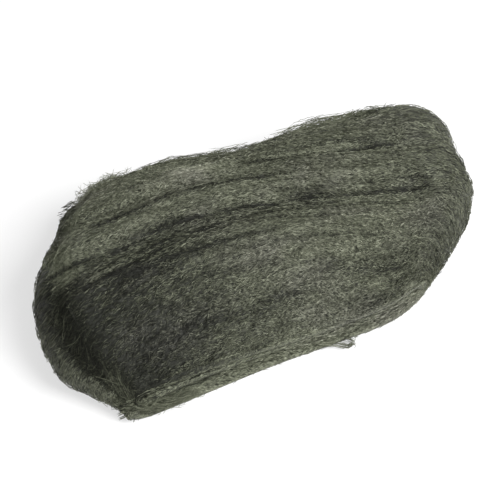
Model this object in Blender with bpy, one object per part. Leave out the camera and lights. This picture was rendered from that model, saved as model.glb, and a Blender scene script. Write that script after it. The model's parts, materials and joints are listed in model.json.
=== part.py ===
"""Steel wool pad: one combed strip of steel wool, wound flat and pressed into a soft oblong pad.

The strip is a flat slab with a grid of faces on it. Every corner of that grid is carried to its place
in three steps: round the winding path in the pad's long section, out to the strip's uneven side edges,
and through one smooth settling of the whole pile, which rounds its corners, domes it and creases it.
Metres, +X along the pad, +Y to its back, +Z up, origin at the middle of its underside.
"""
import math

import bmesh
import bpy
import numpy as np

# Winding: four plies lie one on another, and the strip turns three times between them
PAD_LENGTH = 0.138        # end fold to end fold, before the pile settles
STRIP_WIDTH = 0.070
PLY = 0.0078              # loose thickness of the strip
PLY_GAP = 0.0009          # air between two plies
HIDDEN_END_GAP = 0.0020   # the hidden end stops this short of the left turn's centre

# The torn end of the top ply lies over the end curl: how far it goes on round the curl, how thin it is
# and how far it stands off or sinks in, each spread evenly from its front corner to its back corner
TORN_WRAP = (0.0090, 0.0060, 0.0030, 0.0015, 0.0000, -0.0030, -0.0080)
TORN_THICKNESS = (0.0012, 0.0016, 0.0028, 0.0038, 0.0032, 0.0024, 0.0020)
TORN_LIFT = (-0.0026, -0.0014, 0.0010, 0.0020, 0.0014, 0.0006, 0.0000)
TORN_RAGGED = 0.0008      # depth of the notches in the torn end
TORN_NOTCH = 0.0130       # and their spacing
TORN_TAPER = 0.0200       # length over which it thins and lifts
TORN_TAPER_POWER = 0.7

# Side edges of the strip
EDGE_THICKNESS = 0.0052   # the strip thins towards its sides
EDGE_TAPER = 0.0080
EDGE_TAPER_POWER = 0.6
# How far the side edges stand out from the strip's width, spread evenly along the strip
FRONT_EDGE = (-0.0005, 0.0000, 0.0005, 0.0005, 0.0000, 0.0015, 0.0000, -0.0005, -0.0010, -0.0015, -0.0010)
BACK_EDGE = (-0.0010, 0.0005, 0.0000, 0.0010, -0.0010, 0.0005, 0.0012, 0.0005, -0.0010, -0.0005, -0.0010)

# Ends of the pad in plan: how far each is drawn in, spread evenly from the front edge to the back edge
LEFT_END = (0.0120, 0.0065, 0.0008, 0.0000, 0.0008, 0.0036, 0.0095, 0.0185, 0.0240)
RIGHT_END = (0.0280, 0.0138, 0.0056, 0.0034, 0.0026, 0.0000, 0.0005, 0.0035, 0.0110)
END_FADE = 2.0            # power of the fading of that along the pad

# How far the pile spreads beyond half the strip's width, evenly from its left end to its right
FRONT_SPREAD = (-0.0050, -0.0050, -0.0040, -0.0025, -0.0015, -0.0015, -0.0050)
BACK_SPREAD = (0.0040, 0.0045, 0.0030, -0.0030, -0.0030, -0.0080, -0.0070)

# Height of the settled pile at its two long edges, spread evenly from the left end to the right
FRONT_EDGE_HEIGHT = (0.0110, 0.0105, 0.0105, 0.0105, 0.0110)
BACK_EDGE_HEIGHT = (0.0150, 0.0150, 0.0140, 0.0125, 0.0190)
DOME_FULLNESS = 2.4       # power: how far out the top of the dome stays level
DOME_SHOULDER = 0.7       # power: how steeply it falls to the edges

# Height of the settled pile at the four corners of its top, and how fast it falls to them
FRONT_LEFT_HEIGHT = 0.0270
BACK_LEFT_HEIGHT = 0.0310
FRONT_RIGHT_HEIGHT = 0.0330
BACK_RIGHT_HEIGHT = 0.0330
END_FALL = 3.0            # power

# The grain: where one line along the strip comes to lie, spread evenly from the left end to the right
GRAIN_LINE = -0.0070      # this line's place across the flat strip
GRAIN = (0.0060, 0.0048, 0.0042, 0.0010, -0.0066, -0.0140, -0.0190)

# Creases pressed into the top along the grain: place across the strip, from x, to x, depth,
# half-width to the front and half-width to the back
CREASES = (
    (-0.0070, -0.062, 0.040, 0.0040, 0.0070, 0.0023),
    (0.0060, -0.046, 0.004, 0.0018, 0.0026, 0.0024),
    (0.0105, 0.004, 0.052, 0.0020, 0.0026, 0.0023),
    (-0.0280, -0.042, 0.004, 0.0014, 0.0028, 0.0028),
    (-0.0280, 0.018, 0.044, 0.0014, 0.0028, 0.0028),
)
CREASE_FADE = 0.0150      # length over which a crease runs out at its ends
CREASE_ROOT = 0.70        # share of the pile's height up to which nothing is creased

# Locks: combed ridges along the grain, each as wide as LOCK_WIDTH, that wander and swell
LOCK_HEIGHT = 0.00055
LOCK_WIDTH = 0.0072
LOCK_DRIFT = 0.0022       # how far a ridge wanders to the side
LOCK_WANDER = 0.0430      # length over which it wanders
LOCK_SWELL = 0.0310       # length over which it swells
LOCK_ENDS = 0.0100        # length over which the locks fade where the strip is pressed flat

# Faces along each stretch of the strip, and across it
TORN_FACES = 4
TOP_FACES = 27
OUTER_TURN_FACES = 8
BOTTOM_FACES = 14
LEFT_TURN_FACES = 8
INNER_FACES = 16
INNER_TURN_FACES = 4
HIDDEN_FACES = 11
FACES_ACROSS = 30

PITCH = PLY + PLY_GAP
PILE_HEIGHT = 4 * PLY + 3 * PLY_GAP
HALF_LENGTH = PAD_LENGTH / 2
HALF_WIDTH = STRIP_WIDTH / 2
OUTER_RADIUS = 1.5 * PITCH
CURL_RADIUS = PITCH
INNER_RADIUS = PITCH / 2
TORN_RADIUS = 2 * PITCH
RIGHT_TURN = HALF_LENGTH - OUTER_RADIUS - PLY / 2
LEFT_TURN = -HALF_LENGTH + CURL_RADIUS + PLY / 2
RUN = RIGHT_TURN - LEFT_TURN
TORN_REACH = max(TORN_WRAP)

# Stretches of the strip from its torn top end inwards: length, turn and faces of each
WINDING = (
    (TORN_REACH, TORN_REACH / TORN_RADIUS, TORN_FACES),
    (RUN, 0.0, TOP_FACES),
    (math.pi * OUTER_RADIUS, math.pi, OUTER_TURN_FACES),
    (RUN, 0.0, BOTTOM_FACES),
    (math.pi * CURL_RADIUS, math.pi, LEFT_TURN_FACES),
    (RUN, 0.0, INNER_FACES),
    (math.pi * INNER_RADIUS, math.pi, INNER_TURN_FACES),
    (RUN - HIDDEN_END_GAP, 0.0, HIDDEN_FACES),
)
STRIP_LENGTH = sum(length for length, _, _ in WINDING)
TOP_END = TORN_REACH + RUN
BOTTOM_START = TOP_END + math.pi * OUTER_RADIUS
CURL_START = BOTTOM_START + RUN
CURL_MIDDLE = CURL_START + math.pi * CURL_RADIUS / 2


def fade(value, low, high):
    """0 below low, 1 above high, and a smooth step between."""
    share = np.clip((value - low) / (high - low), 0.0, 1.0)
    return share * share * (3 - 2 * share)


def through(place, values):
    """Smooth curve through evenly spread values, for places from 0 to 1."""
    values = np.asarray(values)
    slopes = np.gradient(values)
    spot = np.clip(place, 0.0, 1.0) * (len(values) - 1)
    left = np.minimum(spot.astype(int), len(values) - 2)
    share = spot - left
    start, end = values[left], values[left + 1]
    rise = start + share ** 2 * (3 - 2 * share) * (end - start)
    return rise + share * (1 - share) ** 2 * slopes[left] - share ** 2 * (1 - share) * slopes[left + 1]


def stations():
    """Distances along the strip at which it has a row of corners."""
    rows = [0.0]
    for length, _, faces in WINDING:
        start = rows[-1]
        rows += [start + length * step / faces for step in range(1, faces + 1)]
    return np.array(rows)


def path(along):
    """Point of the strip's middle and its heading in the long section, at each distance along it."""
    heading = TORN_REACH / TORN_RADIUS
    x = LEFT_TURN - TORN_RADIUS * math.sin(heading)
    z = PLY / 2 + PITCH + TORN_RADIUS * math.cos(heading)
    start = 0.0
    points_x, points_z, headings = (np.zeros_like(along) for _ in range(3))
    for length, turn, _ in WINDING:
        here = along >= start - 1e-9
        gone = along[here] - start
        if turn:
            bend = -turn / length
            angle = heading + bend * gone
            points_x[here] = x + (np.sin(angle) - math.sin(heading)) / bend
            points_z[here] = z - (np.cos(angle) - math.cos(heading)) / bend
            headings[here] = angle
            x += (math.sin(heading - turn) - math.sin(heading)) / bend
            z -= (math.cos(heading - turn) - math.cos(heading)) / bend
            heading -= turn
        else:
            points_x[here] = x + gone * math.cos(heading)
            points_z[here] = z + gone * math.sin(heading)
            headings[here] = heading
            x += length * math.cos(heading)
            z += length * math.sin(heading)
        start += length
    return points_x, points_z, headings


def locks(along, y):
    """Height of the combed ridges on the strip's outer face, on the top, the outer turn and the curl."""
    wander = LOCK_DRIFT * np.sin(2 * math.pi * along / LOCK_WANDER)
    ridge = np.sin(2 * math.pi * (y + wander) / LOCK_WIDTH)
    swell = 1 + np.sin(2 * math.pi * (along / LOCK_SWELL + y / STRIP_WIDTH))
    top = 1 - fade(along, BOTTOM_START - LOCK_ENDS, BOTTOM_START)
    curl = fade(along, CURL_START, CURL_START + LOCK_ENDS) - fade(along, CURL_MIDDLE, CURL_MIDDLE + LOCK_ENDS)
    return LOCK_HEIGHT / 2 * ridge * swell * (top + curl)


def wind(along, across, through_ply):
    """Place in the tight pile: distance along the strip, -1 to 1 across it, -1 to 1 through it."""
    y = across * HALF_WIDTH
    place = (across + 1) / 2
    notch = 1 + np.sin(2 * math.pi * y / TORN_NOTCH)
    short = TORN_REACH - through(place, TORN_WRAP) + TORN_RAGGED * notch
    along = np.where(along < TOP_END, short + along * (TOP_END - short) / TOP_END, along)
    x, z, heading = path(along)
    end = through(place, TORN_THICKNESS)
    to_end = fade(np.minimum(along - short, STRIP_LENGTH - along), 0.0, TORN_TAPER)
    thick = end + (PLY - end) * to_end ** TORN_TAPER_POWER
    lift = through(place, TORN_LIFT) * (1 - fade(along - short, 0.0, TORN_TAPER))
    edge = fade(HALF_WIDTH - np.abs(y), 0.0, EDGE_TAPER) ** EDGE_TAPER_POWER
    thick *= (EDGE_THICKNESS + (PLY - EDGE_THICKNESS) * edge) / PLY
    outer = through_ply > 0
    offset = lift + through_ply * thick / 2 + np.where(outer, locks(along, y) * thick / PLY, 0.0)
    stand_out = np.where(across < 0, through(along / STRIP_LENGTH, FRONT_EDGE),
                         through(along / STRIP_LENGTH, BACK_EDGE))
    wide = across * (HALF_WIDTH + stand_out)
    return x - np.sin(heading) * offset, wide, z + np.cos(heading) * offset


def creases(x, y):
    """Depth of the creases at a place along the pad and across the flat strip."""
    depths = np.zeros_like(x)
    for place, start, end, depth, to_front, to_back in CREASES:
        length = fade(x, start - CREASE_FADE, start) * (1 - fade(x, end, end + CREASE_FADE))
        width = np.where(y < place, to_front, to_back)
        depths += depth * length * np.exp(-((y - place) / width) ** 2)
    return depths


def follow_grain(share, y):
    """Place across the pad, on a parabola through its front edge, its grain line and its back edge,
    and the same place counted from -1 at the front edge through 0 to 1 at the back edge."""
    front = -HALF_WIDTH - through(share, FRONT_SPREAD)
    middle = through(share, GRAIN)
    back = HALF_WIDTH + through(share, BACK_SPREAD)
    front_slope = (middle - front) / (GRAIN_LINE + HALF_WIDTH)
    back_slope = (back - middle) / (HALF_WIDTH - GRAIN_LINE)
    bend = (back_slope - front_slope) / STRIP_WIDTH
    drawn_y = front + (y + HALF_WIDTH) * (front_slope + bend * (y - GRAIN_LINE))
    return drawn_y, drawn_y / np.where(drawn_y < 0, -front, back)


def settle(x, y, z):
    """The pile as it lies: rounded in plan, domed between its edges, lower at its ends and creased."""
    share = (x / HALF_LENGTH + 1) / 2
    drawn_y, reach = follow_grain(share, y)
    front = drawn_y < 0
    place = (reach + 1) / 2
    drawn_x = x + through(place, LEFT_END) * (1 - share) ** END_FADE
    drawn_x -= through(place, RIGHT_END) * share ** END_FADE

    edge = np.where(front, through(share, FRONT_EDGE_HEIGHT), through(share, BACK_EDGE_HEIGHT))
    edge /= PILE_HEIGHT
    dome = edge + (1 - edge) * (1 - np.minimum(np.abs(reach), 1.0) ** DOME_FULLNESS) ** DOME_SHOULDER
    back_part = fade(reach, -1.0, 1.0)
    left_end = FRONT_LEFT_HEIGHT + (BACK_LEFT_HEIGHT - FRONT_LEFT_HEIGHT) * back_part
    right_end = FRONT_RIGHT_HEIGHT + (BACK_RIGHT_HEIGHT - FRONT_RIGHT_HEIGHT) * back_part
    ends = 1 - (1 - left_end / PILE_HEIGHT) * (1 - share) ** END_FALL
    ends -= (1 - right_end / PILE_HEIGHT) * share ** END_FALL
    pressed = creases(drawn_x, y) * fade(z / PILE_HEIGHT, CREASE_ROOT, 1.0)
    return drawn_x, drawn_y, (z - pressed) * dome * ends


def slab(name):
    """Flat slab of unit size with the strip's grid of faces on both sides of it."""
    mesh = bmesh.new()
    rows = len(stations()) - 1
    bmesh.ops.create_grid(mesh, x_segments=rows, y_segments=FACES_ACROSS, size=1.0)
    bmesh.ops.solidify(mesh, geom=mesh.faces[:], thickness=1.0)
    data = bpy.data.meshes.new(name)
    mesh.to_mesh(data)
    mesh.free()
    return data


def wound_strip(name):
    """The slab carried round the winding and settled."""
    data = slab(name)
    corners = np.zeros(len(data.vertices) * 3)
    data.vertices.foreach_get("co", corners)
    corners = corners.reshape(-1, 3)
    rows = stations()
    row = np.round((corners[:, 0] + 1) / 2 * (len(rows) - 1)).astype(int)
    low, high = corners[:, 2].min(), corners[:, 2].max()
    layer = (corners[:, 2] - low) / (high - low) * 2 - 1
    x, y, z = settle(*wind(rows[row], corners[:, 1], layer))
    z[np.abs(z) < 1e-6] = 0.0
    x -= (x.min() + x.max()) / 2
    y -= (y.min() + y.max()) / 2
    data.vertices.foreach_set("co", np.stack((x, y, z), axis=1).ravel())
    data.update()
    return data


def steel_wool():
    """Dull grey steel with a slight olive cast."""
    material = bpy.data.materials.new("steel_wool")
    material.use_nodes = True
    shader = material.node_tree.nodes["Principled BSDF"]
    shader.inputs["Base Color"].default_value = (0.095, 0.102, 0.075, 1.0)
    shader.inputs["Metallic"].default_value = 0.6
    shader.inputs["Roughness"].default_value = 0.6
    return material


def build():
    for old in list(bpy.data.objects):
        bpy.data.objects.remove(old, do_unlink=True)
    collection = bpy.data.collections.new("steel_wool_pad")
    bpy.context.scene.collection.children.link(collection)
    data = wound_strip("steel_wool_pad")
    data.materials.append(steel_wool())
    data.shade_smooth()
    pad = bpy.data.objects.new("steel_wool_pad", data)
    collection.objects.link(pad)


build()
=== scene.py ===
# Steel wool pad: one combed strip of steel wool wound flat, with its fibres, loose fringe and wisps.
import json
import math

import bpy
import numpy as np
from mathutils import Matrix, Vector

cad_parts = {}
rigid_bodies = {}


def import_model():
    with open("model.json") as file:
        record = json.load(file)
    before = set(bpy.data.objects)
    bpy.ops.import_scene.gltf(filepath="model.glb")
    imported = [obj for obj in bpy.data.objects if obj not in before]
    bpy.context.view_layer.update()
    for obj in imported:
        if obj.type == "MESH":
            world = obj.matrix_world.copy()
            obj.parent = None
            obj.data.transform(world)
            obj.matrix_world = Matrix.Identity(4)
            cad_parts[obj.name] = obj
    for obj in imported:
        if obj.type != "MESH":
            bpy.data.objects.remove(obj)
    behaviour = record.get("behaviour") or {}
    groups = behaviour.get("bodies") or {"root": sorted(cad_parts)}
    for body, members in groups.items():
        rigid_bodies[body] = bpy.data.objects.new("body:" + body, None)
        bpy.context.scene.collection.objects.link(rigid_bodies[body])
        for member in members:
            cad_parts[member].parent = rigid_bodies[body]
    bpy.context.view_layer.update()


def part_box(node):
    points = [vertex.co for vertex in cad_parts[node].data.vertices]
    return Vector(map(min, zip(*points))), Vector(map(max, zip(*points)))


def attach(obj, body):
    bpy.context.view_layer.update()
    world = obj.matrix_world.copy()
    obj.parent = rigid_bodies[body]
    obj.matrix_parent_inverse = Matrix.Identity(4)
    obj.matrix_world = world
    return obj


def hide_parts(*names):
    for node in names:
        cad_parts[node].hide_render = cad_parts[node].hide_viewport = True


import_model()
node = "steel_wool_pad"
padLow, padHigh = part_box(node)
print("frame loaded: pad of %.0f x %.0f x %.0f mm" % tuple(1000 * side for side in padHigh - padLow))


# The wound strip, in metres: the pad's own sizes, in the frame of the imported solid
strip = {
    "length": 0.138,          # end fold to end fold before the pile settles
    "width": 0.070,
    "ply": 0.0078,            # loose thickness
    "gap": 0.0009,            # air between two plies
    "hiddenGap": 0.0020,
    # the torn end, front corner to back corner: how far it wraps the curl, how thin it is, and how far it
    # stands off
    "wrap": (0.0090, 0.0060, 0.0030, 0.0015, 0.0000, -0.0030, -0.0080),
    "tornThickness": (0.0012, 0.0016, 0.0028, 0.0038, 0.0032, 0.0024, 0.0020),
    "tornLift": (-0.0026, -0.0014, 0.0010, 0.0020, 0.0014, 0.0006, 0.0000),
    "ragged": 0.0008,
    "notch": 0.0130,
    "tornTaper": 0.0200,
    "tornPower": 0.7,         # the less, the sooner the strip is full behind its end
    "edgeThickness": 0.0052,
    "edgeTaper": 0.0080,
    "edgePower": 0.6,
    "frontEdge": (-0.0005, 0.0, 0.0005, 0.0005, 0.0, 0.0015, 0.0, -0.0005, -0.0010, -0.0015, -0.0010),
    "backEdge": (-0.0010, 0.0005, 0.0, 0.0010, -0.0010, 0.0005, 0.0012, 0.0005, -0.0010, -0.0005, -0.0010),
    "lockHeight": 0.00055,    # combed ridges on the outer face: height, width, drift, wander and swell
    "lockWidth": 0.0072,
    "lockDrift": 0.0022,
    "lockWander": 0.0430,
    "lockSwell": 0.0310,
    "lockEnds": 0.0100,
}

# How the pile settles: ends drawn in, spread at its sides, edge and corner heights, grain and creases
pile = {
    "leftEnd": (0.0120, 0.0065, 0.0008, 0.0, 0.0008, 0.0036, 0.0095, 0.0185, 0.0240),
    "rightEnd": (0.0280, 0.0138, 0.0056, 0.0034, 0.0026, 0.0, 0.0005, 0.0035, 0.0110),
    "front": (-0.0050, -0.0050, -0.0040, -0.0025, -0.0015, -0.0015, -0.0050),
    "back": (0.0040, 0.0045, 0.0030, -0.0030, -0.0030, -0.0080, -0.0070),
    "frontHeight": (0.0110, 0.0105, 0.0105, 0.0105, 0.0110),
    "backHeight": (0.0150, 0.0150, 0.0140, 0.0125, 0.0190),
    "leftHeights": (0.0270, 0.0310),      # front and back corner
    "rightHeights": (0.0330, 0.0330),
    "dome": (2.4, 0.7),       # powers of the dome's curve: of the distance from the middle, and of the whole
    "grainLine": -0.0070,
    "grain": (0.0060, 0.0048, 0.0042, 0.0010, -0.0066, -0.0140, -0.0190),
    "creases": (              # place across the strip, from x, to x, depth, half-width to front and to back
        (-0.0070, -0.062, 0.040, 0.0040, 0.0070, 0.0023),
        (0.0060, -0.046, 0.004, 0.0018, 0.0026, 0.0024),
        (0.0105, 0.004, 0.052, 0.0020, 0.0026, 0.0023),
        (-0.0280, -0.042, 0.004, 0.0014, 0.0028, 0.0028),
        (-0.0280, 0.018, 0.044, 0.0014, 0.0028, 0.0028),
    ),
    "creaseFade": 0.0150,
    "creaseRoot": 0.70,
}

pitch = strip["ply"] + strip["gap"]
pileHeight = 4 * strip["ply"] + 3 * strip["gap"]
halfLength = strip["length"] / 2
halfWidth = strip["width"] / 2
rightTurn = halfLength - 1.5 * pitch - strip["ply"] / 2
leftTurn = -halfLength + pitch + strip["ply"] / 2
run = rightTurn - leftTurn
tornReach = max(strip["wrap"])

# Stretches of the strip from its torn end inwards: length and turn
stretches = {
    "torn": (tornReach, tornReach / (2 * pitch)),
    "top": (run, 0.0),
    "outerTurn": (1.5 * math.pi * pitch, math.pi),
    "bottom": (run, 0.0),
    "curl": (math.pi * pitch, math.pi),
    "inner": (run, 0.0),
    "innerTurn": (0.5 * math.pi * pitch, math.pi),
    "hidden": (run - strip["hiddenGap"], 0.0),
}
ends = np.cumsum([length for length, turn in stretches.values()])
startOf = dict(zip(stretches, np.concatenate(([0.0], ends[:-1]))))
endOf = dict(zip(stretches, ends))
stripLength = ends[-1]


# 0 below low, 1 above high, and a smooth step between
def fade(value, low, high):
    share = np.clip((value - low) / (high - low), 0.0, 1.0)
    return share * share * (3 - 2 * share)


# 1 from start to end, faded out over a distance on both sides
def window(value, start, end, soft):
    return fade(value, start - soft, start) * (1 - fade(value, end, end + soft))


# Bell curve of one or two distances, given in widths of the bell: e to the power of minus their squares
def bell(first, second=0.0):
    return np.exp(-first ** 2 - second ** 2)


# Cubic curve through evenly spread values, for places from 0 to 1
def through(place, values):
    values = np.asarray(values)
    slopes = np.gradient(values)
    spot = np.clip(place, 0.0, 1.0) * (len(values) - 1)
    left = np.minimum(spot.astype(int), len(values) - 2)
    share = spot - left
    rise = values[left] + share ** 2 * (3 - 2 * share) * (values[left + 1] - values[left])
    return rise + share * (1 - share) ** 2 * slopes[left] - share ** 2 * (1 - share) * slopes[left + 1]


# Chain of arcs and straight runs: each adds its length, and an arc turns the heading clockwise
def pathAt(along):
    wrap = stretches["torn"][1]
    x = leftTurn - 2 * pitch * math.sin(wrap)
    z = strip["ply"] / 2 + pitch + 2 * pitch * math.cos(wrap)
    heading = wrap
    xs, zs, headings = np.zeros_like(along), np.zeros_like(along), np.zeros_like(along)
    for name, (length, turn) in stretches.items():
        here = along >= (startOf[name] if name != "torn" else -1.0)    # fibres start before the torn edge
        gone = along[here] - startOf[name]
        if turn:
            bend = -turn / length
            angle = heading + bend * gone
            xs[here] = x + (np.sin(angle) - math.sin(heading)) / bend
            zs[here] = z - (np.cos(angle) - math.cos(heading)) / bend
            headings[here] = angle
            x += (math.sin(heading - turn) - math.sin(heading)) / bend
            z -= (math.cos(heading - turn) - math.cos(heading)) / bend
            heading -= turn
        else:
            xs[here] = x + gone * math.cos(heading)
            zs[here] = z + gone * math.sin(heading)
            headings[here] = heading
            x += length * math.cos(heading)
            z += length * math.sin(heading)
    return xs, zs, headings


# Combed ridges: a sine across the strip that wanders and swells along it, where its face lies outside
def ridgeHeight(along, y):
    wander = strip["lockDrift"] * np.sin(2 * math.pi * along / strip["lockWander"])
    ridge = np.sin(2 * math.pi * (y + wander) / strip["lockWidth"])
    swell = 1 + np.sin(2 * math.pi * (along / strip["lockSwell"] + y / strip["width"]))
    bottom, curl, end = startOf["bottom"], startOf["curl"], strip["lockEnds"]
    middle = curl + math.pi * pitch / 2
    shown = 1 - fade(along, bottom - end, bottom) + fade(along, curl, curl + end)
    shown = shown - fade(along, middle, middle + end)
    return strip["lockHeight"] / 2 * ridge * swell * shown


# How far from its start the strip really begins: less where it wraps less, plus ragged notches
def tornStart(across):
    notch = 1 + np.sin(2 * math.pi * across * halfWidth / strip["notch"])
    return tornReach - through((across + 1) / 2, strip["wrap"]) + strip["ragged"] * notch


# Thickness: thin at the torn and hidden ends, and thinner at the side edges
def thicknessAt(fromTorn, along, across):
    end = through((across + 1) / 2, strip["tornThickness"])
    toEnd = fade(np.minimum(fromTorn, stripLength - along), 0.0, strip["tornTaper"])
    thick = end + (strip["ply"] - end) * toEnd ** strip["tornPower"]
    side = (1 - np.abs(across)) * halfWidth
    edge = strip["edgeThickness"]
    full = fade(side, 0.0, strip["edgeTaper"]) ** strip["edgePower"]
    return thick * (edge + (strip["ply"] - edge) * full) / strip["ply"]


# Place in the tight pile: along the path, across it from -1 to 1, and half the thickness times layer
def windStrip(along, across, layer):
    top = endOf["top"]
    short = tornStart(across)
    along = np.where(along < top, short + along * (top - short) / top, along)
    x, z, heading = pathAt(along)
    thick = thicknessAt(along - short, along, across)
    lift = through((across + 1) / 2, strip["tornLift"]) * (1 - fade(along - short, 0.0, strip["tornTaper"]))
    ridge = ridgeHeight(along, across * halfWidth) * thick / strip["ply"]
    offset = lift + layer * thick / 2 + ridge * np.clip(layer, 0.0, 1.0)
    reach = halfWidth + np.where(across < 0, through(along / stripLength, strip["frontEdge"]),
                                 through(along / stripLength, strip["backEdge"]))
    return x - np.sin(heading) * offset, across * reach, z + np.cos(heading) * offset


# Sum of the creases: depth times a bell curve across each, wider on one side, faded out at its two ends
def creaseDepth(x, y):
    depths = np.zeros_like(x)
    for place, start, end, depth, toFront, toBack in pile["creases"]:
        length = window(x, start, end, pile["creaseFade"])
        depths += depth * length * bell((y - place) / np.where(y < place, toFront, toBack))
    return depths


# Parabola across the pad through its front edge, its grain line and its back edge
def followGrain(share, y):
    front = -halfWidth - through(share, pile["front"])
    middle = through(share, pile["grain"])
    back = halfWidth + through(share, pile["back"])
    frontSlope = (middle - front) / (pile["grainLine"] + halfWidth)
    backSlope = (back - middle) / (halfWidth - pile["grainLine"])
    bend = (backSlope - frontSlope) / strip["width"]
    drawnY = front + (y + halfWidth) * (frontSlope + bend * (y - pile["grainLine"]))
    return drawnY, drawnY / np.where(drawnY < 0, -front, back)


# The pile as it lies: ends rounded in plan, domed between its edges, its ends lowered, and creased
def settlePile(x, y, z):
    share = (x / halfLength + 1) / 2
    drawnY, reach = followGrain(share, y)
    place = (reach + 1) / 2
    drawnX = x + through(place, pile["leftEnd"]) * (1 - share) ** 2
    drawnX = drawnX - through(place, pile["rightEnd"]) * share ** 2
    frontHeight, backHeight = through(share, pile["frontHeight"]), through(share, pile["backHeight"])
    edge = np.where(drawnY < 0, frontHeight, backHeight) / pileHeight
    flatness, steepness = pile["dome"]
    dome = edge + (1 - edge) * (1 - np.minimum(np.abs(reach), 1.0) ** flatness) ** steepness
    backPart = fade(reach, -1.0, 1.0)
    (leftFront, leftBack), (rightFront, rightBack) = pile["leftHeights"], pile["rightHeights"]
    leftDrop = 1 - (leftFront + (leftBack - leftFront) * backPart) / pileHeight
    rightDrop = 1 - (rightFront + (rightBack - rightFront) * backPart) / pileHeight
    ends = 1 - leftDrop * (1 - share) ** 3 - rightDrop * share ** 3
    pressed = creaseDepth(drawnX, y) * fade(z / pileHeight, pile["creaseRoot"], 1.0)
    return drawnX, drawnY, (z - pressed) * dome * ends


# A point of the strip's surface, from distance along it, place across it and layer (1 outside, -1 inside)
def stripPoint(along, across, layer):
    along, across, layer = np.broadcast_arrays(along, across, layer)
    x, y, z = settlePile(*windStrip(along.astype(float), across.astype(float), layer))
    return np.stack((x, y, z), axis=-1)


# How finely the strip is sampled where a value is worked out from its surface
sampling = {
    "shift": (1200, 161),     # points along and across it that find the pile's middle
    "comb": 400,              # points that sum up the combing
    "spread": 141,            # points that find how densely the fibres lie across
    "step": 0.0003,           # step that finds a normal
    "wideStep": 0.0006,       # step to each side that finds a stretch
    "stretch": (0.5, 4.0),    # smallest and largest stretch
}


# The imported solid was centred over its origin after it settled, so the same shift is found once
def findShift():
    rows, columns = sampling["shift"]
    along, across = np.meshgrid(np.linspace(0, stripLength, rows), np.linspace(-1, 1, columns), indexing="ij")
    spots = np.concatenate([stripPoint(along, across, side).reshape(-1, 3) for side in (-1.0, 1.0)])
    middle = (spots.min(axis=0) + spots.max(axis=0)) / 2
    boxMiddle = (np.array(padLow) + np.array(padHigh)) / 2
    return np.array((boxMiddle[0] - middle[0], boxMiddle[1] - middle[1], 0.0))


shift = findShift()


# Vectors divided by their lengths, of which none counts as less than a tiny one
def unit(vectors):
    return vectors / np.maximum(np.linalg.norm(vectors, axis=-1, keepdims=True), 1e-12)


# Point and normal of the strip's surface, from the cross product of two small steps on it
def surfaceFrame(along, across, layer):
    step = sampling["step"]
    spot = stripPoint(along, across, layer)
    alongStep = stripPoint(along + step, across, layer) - spot
    acrossStep = stripPoint(along, across + step / halfWidth, layer) - spot
    outwards = np.where(np.asarray(layer) < 0, -1.0, 1.0)[..., None]
    return spot + shift, unit(np.cross(alongStep, acrossStep) * outwards)


# How much longer the settled surface is across the strip than the flat strip
def stretchAt(along, across):
    step = sampling["wideStep"] / halfWidth
    gap = stripPoint(along, across + step, 1.0) - stripPoint(along, across - step, 1.0)
    stretch = np.linalg.norm(gap, axis=-1) / (2 * sampling["wideStep"])
    return np.clip(stretch, *sampling["stretch"])


# Point and normal of the pile's side faces, where the edges of its plies lie one over another
def sideFrame(x, z, side):
    step = sampling["step"]
    y = side * halfWidth
    spot = np.stack(settlePile(x, y, z), axis=-1)
    xStep = np.stack(settlePile(x + step, y, z), axis=-1) - spot
    zStep = np.stack(settlePile(x, y, z + step), axis=-1) - spot
    return spot + shift, unit(np.cross(zStep, xStep) * side[..., None])


# Smooth noise of two parameters: random heights on a lattice, blended by a smooth step, -1 to 1
def lattice(u, v, seed):
    cells = 256
    heights = np.random.default_rng(seed).uniform(-1, 1, (cells + 1, cells + 1))
    cellU, cellV = np.floor(u).astype(int), np.floor(v).astype(int)
    shareU, shareV = u - cellU, v - cellV
    shareU, shareV = shareU * shareU * (3 - 2 * shareU), shareV * shareV * (3 - 2 * shareV)
    cellU, cellV = cellU % cells, cellV % cells
    near = heights[cellU, cellV] * (1 - shareU) + heights[cellU + 1, cellV] * shareU
    far = heights[cellU, cellV + 1] * (1 - shareU) + heights[cellU + 1, cellV + 1] * shareU
    return near * (1 - shareV) + far * shareV


# The combing: near the torn end the fibres of the front dome slant towards the crease
combing = {"slant": 0.20, "from": -0.060, "to": 0.040, "front": (-0.032, -0.002)}


# x of the tight pile's top at a distance along the strip
def topX(along):
    return leftTurn + along - tornReach


# Slope of the front dome's fibres: full at the torn end, none near the right fold
def slantAt(along):
    return combing["slant"] * (1 - fade(topX(along), combing["from"], combing["to"]))


# What is left of that slope across the strip: all at the front, nothing behind the crease
def combShare(y):
    return 1 - fade(y, *combing["front"])


# Slope of the fibres against the strip's own line
def combSlope(along, y):
    return slantAt(along) * combShare(y)


# The same slope summed up along the strip, so that a map drawn by it runs with the fibres
def combShift(along, y):
    steps = np.linspace(0.0, endOf["top"], sampling["comb"])
    slopes = slantAt(steps)
    gone = np.concatenate(([0.0], np.cumsum((slopes[1:] + slopes[:-1]) / 2 * np.diff(steps))))
    return np.interp(along, steps, gone) * combShare(y)


# Small strands over the big ridges: noise drawn out along the fibres
strands = {
    "layers": ((0.020, 0.0019, 0.00022), (0.009, 0.0009, 0.00013)),    # length, width and height of each
    "drift": (0.05, 0.02, 0.35),      # length, width and size of the noise that lets them drift
    "seeds": (11, 90),
    "starts": (60, 9, 7),     # where in its noise each begins: the strands across, the drift along and across
    "apart": 31,              # how far apart two layers begin
    "inside": 50.0,           # how far off the inner face begins
}


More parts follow.
